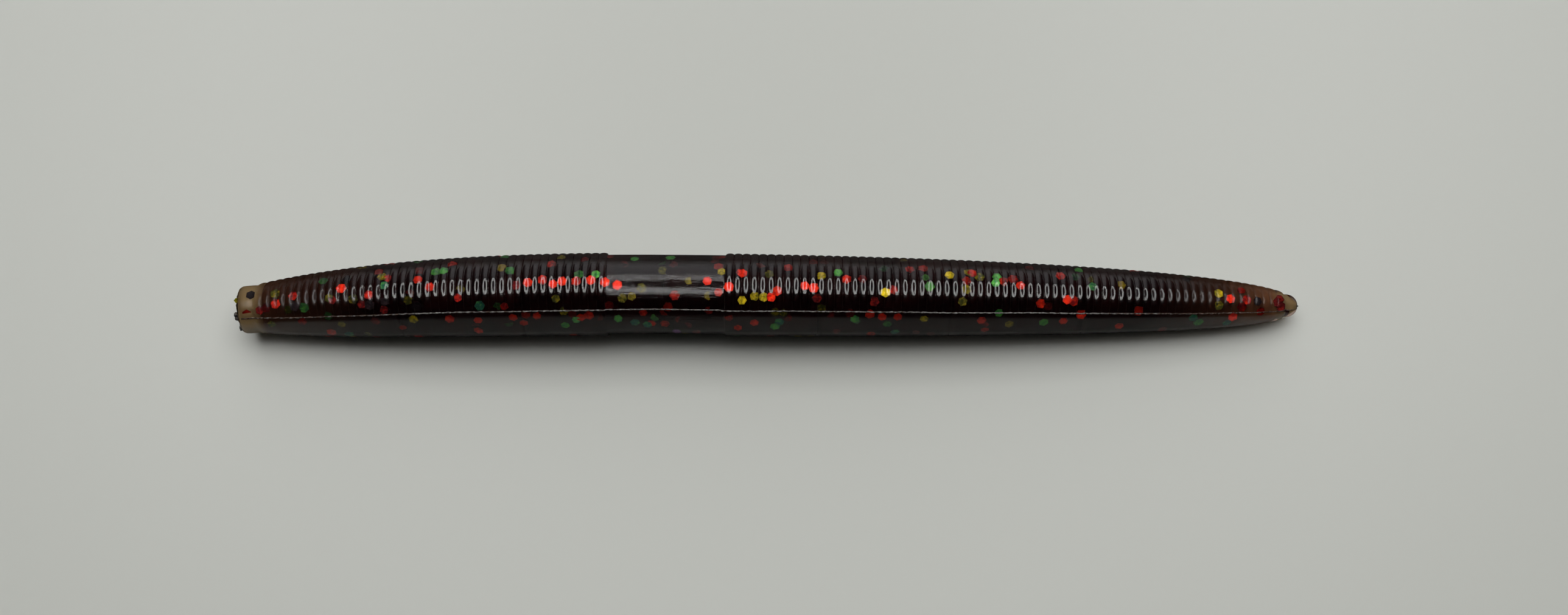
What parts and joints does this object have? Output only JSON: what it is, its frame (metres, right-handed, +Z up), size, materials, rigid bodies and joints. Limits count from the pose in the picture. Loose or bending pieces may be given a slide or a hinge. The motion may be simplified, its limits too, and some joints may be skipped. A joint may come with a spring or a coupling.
{
  "type": "soft plastic stick worm lure",
  "caption": "Soft translucent wine-brown ribbed stick worm with a smooth collar, hex glitter, mould seam, cut sprue stub and tail nub; it bends along its whole length.",
  "frame": {"origin": "on the table below the middle of the worm's length, on its belly line", "axes": "+X from the head's sprue stub to the tail, +Z up from the table, -Y the near side, towards which both ends bend a little"},
  "size_m": [0.1312, 0.0104, 0.0101],
  "materials": {
    "plastisol": "glossy translucent wine-brown moulded plastisol",
    "thin_plastisol": "the same plastisol where it is thin and shows tan",
    "red_glitter": "bright red hexagonal polyester glitter",
    "green_glitter": "green hexagonal polyester glitter",
    "gold_glitter": "gold hexagonal polyester glitter",
    "black_glitter": "black hexagonal polyester glitter",
    "purple_glitter": "purple hexagonal polyester glitter"
  },
  "bodies": {
    "head": {"head_stiff_length": "thin_plastisol", "head_red_flakes": "red_glitter", "head_green_flakes": "green_glitter", "head_gold_flakes": "gold_glitter", "head_black_flakes": "black_glitter"},
    "neck": {"neck_stiff_length": "plastisol", "neck_red_flakes": "red_glitter", "neck_green_flakes": "green_glitter", "neck_gold_flakes": "gold_glitter", "head_to_neck_flex": "plastisol"},
    "shoulder": {"shoulder_stiff_length": "plastisol", "shoulder_red_flakes": "red_glitter", "shoulder_green_flakes": "green_glitter", "shoulder_gold_flakes": "gold_glitter", "neck_to_shoulder_flex": "plastisol"},
    "collar": {"collar_stiff_length": "plastisol", "collar_red_flakes": "red_glitter", "collar_green_flakes": "green_glitter", "collar_gold_flakes": "gold_glitter", "collar_purple_flake": "purple_glitter", "shoulder_to_collar_flex": "plastisol", "collar_to_waist_flex": "plastisol"},
    "waist": {"waist_stiff_length": "plastisol", "waist_red_flakes": "red_glitter", "waist_green_flakes": "green_glitter", "waist_gold_flakes": "gold_glitter", "waist_to_rear_flex": "plastisol"},
    "rear": {"rear_stiff_length": "plastisol", "rear_red_flakes": "red_glitter", "rear_green_flakes": "green_glitter", "rear_gold_flakes": "gold_glitter", "rear_to_tail_base_flex": "plastisol"},
    "tail_base": {"tail_base_stiff_length": "plastisol", "tail_base_red_flakes": "red_glitter", "tail_base_green_flakes": "green_glitter", "tail_base_gold_flakes": "gold_glitter", "tail_base_to_tail_tip_flex": "plastisol"},
    "tail_tip": {"tail_tip_stiff_length": "thin_plastisol", "tail_tip_red_flakes": "red_glitter", "tail_tip_green_flakes": "green_glitter", "tail_tip_gold_flakes": "gold_glitter", "tail_tip_black_flakes": "black_glitter"}
  },
  "joints": [
    {"name": "head_neck_sideways_bend", "type": "hinge", "parent": "neck", "child": "head", "pos_m": [-0.0525, -0.00093, 0.00413], "axis": [0, 0, -1], "range_deg": [-35, 35], "stiffness_Nm_per_rad": 0.00132, "deforming": ["head_to_neck_flex"]},
    {"name": "neck_shoulder_up_down_bend", "type": "hinge", "parent": "shoulder", "child": "neck", "pos_m": [-0.0375, -0.00033, 0.00482], "axis": [0, 1, 0], "range_deg": [-35, 35], "stiffness_Nm_per_rad": 0.00246, "deforming": ["neck_to_shoulder_flex"]},
    {"name": "shoulder_collar_sideways_bend", "type": "hinge", "parent": "collar", "child": "shoulder", "pos_m": [-0.023, -0.00004, 0.00501], "axis": [0, 0, -1], "range_deg": [-35, 35], "stiffness_Nm_per_rad": 0.00244, "deforming": ["shoulder_to_collar_flex"]},
    {"name": "collar_waist_up_down_bend", "type": "hinge", "parent": "collar", "child": "waist", "pos_m": [-0.003, -0.0001, 0.00498], "axis": [0, -1, 0], "range_deg": [-35, 35], "stiffness_Nm_per_rad": 0.00226, "deforming": ["collar_to_waist_flex"]},
    {"name": "waist_rear_sideways_bend", "type": "hinge", "parent": "waist", "child": "rear", "pos_m": [0.0135, -0.00028, 0.0048], "axis": [0, 0, 1], "range_deg": [-35, 35], "stiffness_Nm_per_rad": 0.00216, "deforming": ["waist_to_rear_flex"]},
    {"name": "rear_tail_base_up_down_bend", "type": "hinge", "parent": "rear", "child": "tail_base", "pos_m": [0.03, -0.00048, 0.00441], "axis": [0, -1, 0], "range_deg": [-35, 35], "stiffness_Nm_per_rad": 0.00154, "deforming": ["rear_to_tail_base_flex"]},
    {"name": "tail_base_tail_tip_sideways_bend", "type": "hinge", "parent": "tail_base", "child": "tail_tip", "pos_m": [0.0465, -0.00069, 0.00367], "axis": [0, 0, 1], "range_deg": [-35, 35], "stiffness_Nm_per_rad": 0.00066, "deforming": ["tail_base_to_tail_tip_flex"]}
  ]
}
